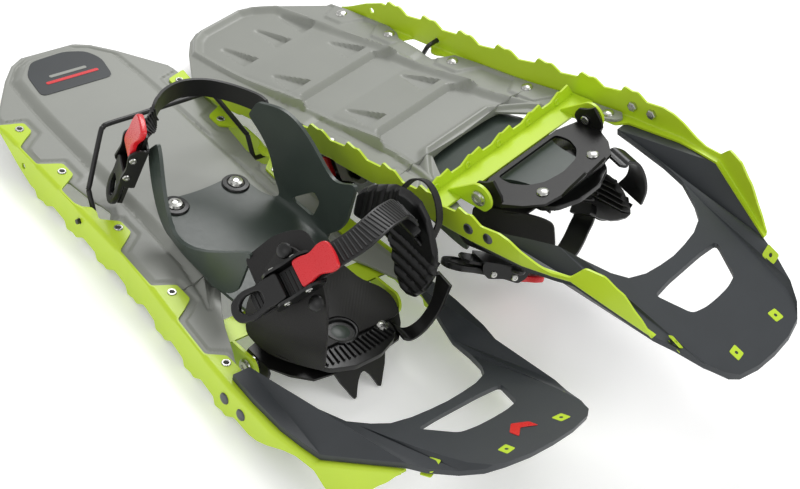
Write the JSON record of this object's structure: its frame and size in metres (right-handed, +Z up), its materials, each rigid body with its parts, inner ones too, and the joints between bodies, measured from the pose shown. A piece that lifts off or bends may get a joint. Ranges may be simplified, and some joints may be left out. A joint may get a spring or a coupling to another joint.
{
  "type": "pair of snowshoes",
  "caption": "Pair of moulded-deck snowshoes, one turned over, with toothed side rails, turned-up noses, hinged bindings with ratchet straps, toe crampons and folding heel wires.",
  "frame": {"origin": "middle of the pair in plan, on the floor that they stand on", "axes": "+Z up; +X runs from the tails to the noses; +Y to the left of the walking direction, from the standing shoe towards the turned-over one"},
  "size_m": [0.6373, 0.3985, 0.1725],
  "materials": {
    "deck": "moulded, fine satin grain",
    "lime": "powder coated",
    "nose": "moulded, satin",
    "urethane": "translucent urethane",
    "black": "moulded, ribbed",
    "webbing": "coated webbing",
    "strap": "toothed urethane strap",
    "wire": "black coated wire",
    "crampon": "black powder coated",
    "red": "gloss",
    "steel": "bright"
  },
  "bodies": {
    "right_shoe": {"right_deck": "deck", "right_rail_outer": "lime", "right_rail_inner": "lime", "right_nose": "nose", "right_crossbar": "lime", "right_pivot_pin_outer": "steel", "right_pivot_pin_inner": "steel"},
    "right_binding": {"right_crampon": "crampon", "right_toe_plate": "black", "right_toe_rivet_outer": "steel", "right_toe_rivet_inner": "steel", "right_harness": "urethane", "right_heel_bolt_outer": "steel", "right_heel_bolt_inner": "steel", "right_toe_wing": "webbing", "right_instep_pad": "black", "right_toe_arm": "black", "right_pull_loop": "webbing", "right_toe_buckle": "black", "right_heel_buckle": "black", "right_toe_strap": "strap", "right_heel_strap": "strap"},
    "right_heel_bail_body": {"right_heel_bail": "wire"},
    "right_toe_lever_body": {"right_toe_lever": "black"},
    "right_toe_release_body": {"right_toe_release": "red"},
    "right_heel_lever_body": {"right_heel_lever": "black"},
    "right_heel_release_body": {"right_heel_release": "red"},
    "left_shoe": {"left_deck": "deck", "left_rail_outer": "lime", "left_rail_inner": "lime", "left_nose": "nose", "left_crossbar": "lime", "left_pivot_pin_outer": "steel", "left_pivot_pin_inner": "steel"},
    "left_binding": {"left_crampon": "crampon", "left_toe_plate": "black", "left_toe_rivet_outer": "steel", "left_toe_rivet_inner": "steel", "left_harness": "urethane", "left_heel_bolt_outer": "steel", "left_heel_bolt_inner": "steel", "left_toe_wing": "webbing", "left_instep_pad": "black", "left_toe_arm": "black", "left_pull_loop": "webbing", "left_toe_buckle": "black", "left_heel_buckle": "black", "left_toe_strap": "strap", "left_heel_strap": "strap"},
    "left_heel_bail_body": {"left_heel_bail": "wire"},
    "left_toe_lever_body": {"left_toe_lever": "black"},
    "left_toe_release_body": {"left_toe_release": "red"},
    "left_heel_lever_body": {"left_heel_lever": "black"},
    "left_heel_release_body": {"left_heel_release": "red"}
  },
  "joints": [
    {"name": "right_binding_pivot", "type": "hinge", "parent": "right_shoe", "child": "right_binding", "pos_m": [0.06574, -0.09563, 0.01494], "axis": [0, 1, 0], "range_deg": [0, 45]},
    {"name": "right_bail_fold", "type": "hinge", "parent": "right_shoe", "child": "right_heel_bail_body", "pos_m": [-0.12386, -0.09563, 0.02009], "axis": [0, -1, 0], "range_deg": [0, 32]},
    {"name": "right_toe_lever_pull", "type": "hinge", "parent": "right_binding", "child": "right_toe_lever_body", "pos_m": [0.07607, -0.158, 0.09937], "axis": [-0.9169, 0.112, 0.3831], "range_deg": [0, 90]},
    {"name": "right_toe_release_lift", "type": "hinge", "parent": "right_binding", "child": "right_toe_release_body", "pos_m": [0.08293, -0.14688, 0.11253], "axis": [0.9169, -0.112, -0.3831], "range_deg": [0, 45], "stiffness_Nm_per_rad": 0.03},
    {"name": "right_heel_lever_pull", "type": "hinge", "parent": "right_binding", "child": "right_heel_lever_body", "pos_m": [-0.11277, -0.15805, 0.07345], "axis": [-0.9024, 0.4061, 0.1442], "range_deg": [0, 90]},
    {"name": "right_heel_release_lift", "type": "hinge", "parent": "right_binding", "child": "right_heel_release_body", "pos_m": [-0.10905, -0.15619, 0.09152], "axis": [0.9024, -0.4061, -0.1442], "range_deg": [0, 45], "stiffness_Nm_per_rad": 0.03},
    {"name": "left_shoe_lift", "type": "slide", "parent": "right_shoe", "child": "left_shoe", "axis": [0, 0, 1], "range_m": [0, 0.3]},
    {"name": "left_binding_pivot", "type": "hinge", "parent": "left_shoe", "child": "left_binding", "pos_m": [0.0793, 0.09033, 0.12826], "axis": [0.1138, -0.9816, -0.1534], "range_deg": [0, 45]},
    {"name": "left_bail_fold", "type": "hinge", "parent": "left_shoe", "child": "left_heel_bail_body", "pos_m": [-0.10377, 0.07655, 0.08062], "axis": [-0.1138, 0.9816, 0.1534], "range_deg": [0, 32]},
    {"name": "left_toe_lever_pull", "type": "hinge", "parent": "left_binding", "child": "left_toe_lever_body", "pos_m": [0.09891, 0.04142, 0.04446], "axis": [0.838, -0.4026, 0.3683], "range_deg": [0, 30]},
    {"name": "left_toe_release_lift", "type": "hinge", "parent": "left_binding", "child": "left_toe_release_body", "pos_m": [0.10801, 0.05721, 0.04101], "axis": [-0.838, 0.4026, -0.3683], "range_deg": [0, 45], "stiffness_Nm_per_rad": 0.03},
    {"name": "left_heel_lever_pull", "type": "hinge", "parent": "left_binding", "child": "left_heel_lever_body", "pos_m": [-0.06078, 0.02146, 0.03949], "axis": [0.5463, 0.1556, -0.823], "range_deg": [0, 65]},
    {"name": "left_heel_release_lift", "type": "hinge", "parent": "left_binding", "child": "left_heel_release_body", "pos_m": [-0.07631, 0.02311, 0.02949], "axis": [-0.5463, -0.1556, 0.823], "range_deg": [0, 45], "stiffness_Nm_per_rad": 0.03}
  ]
}
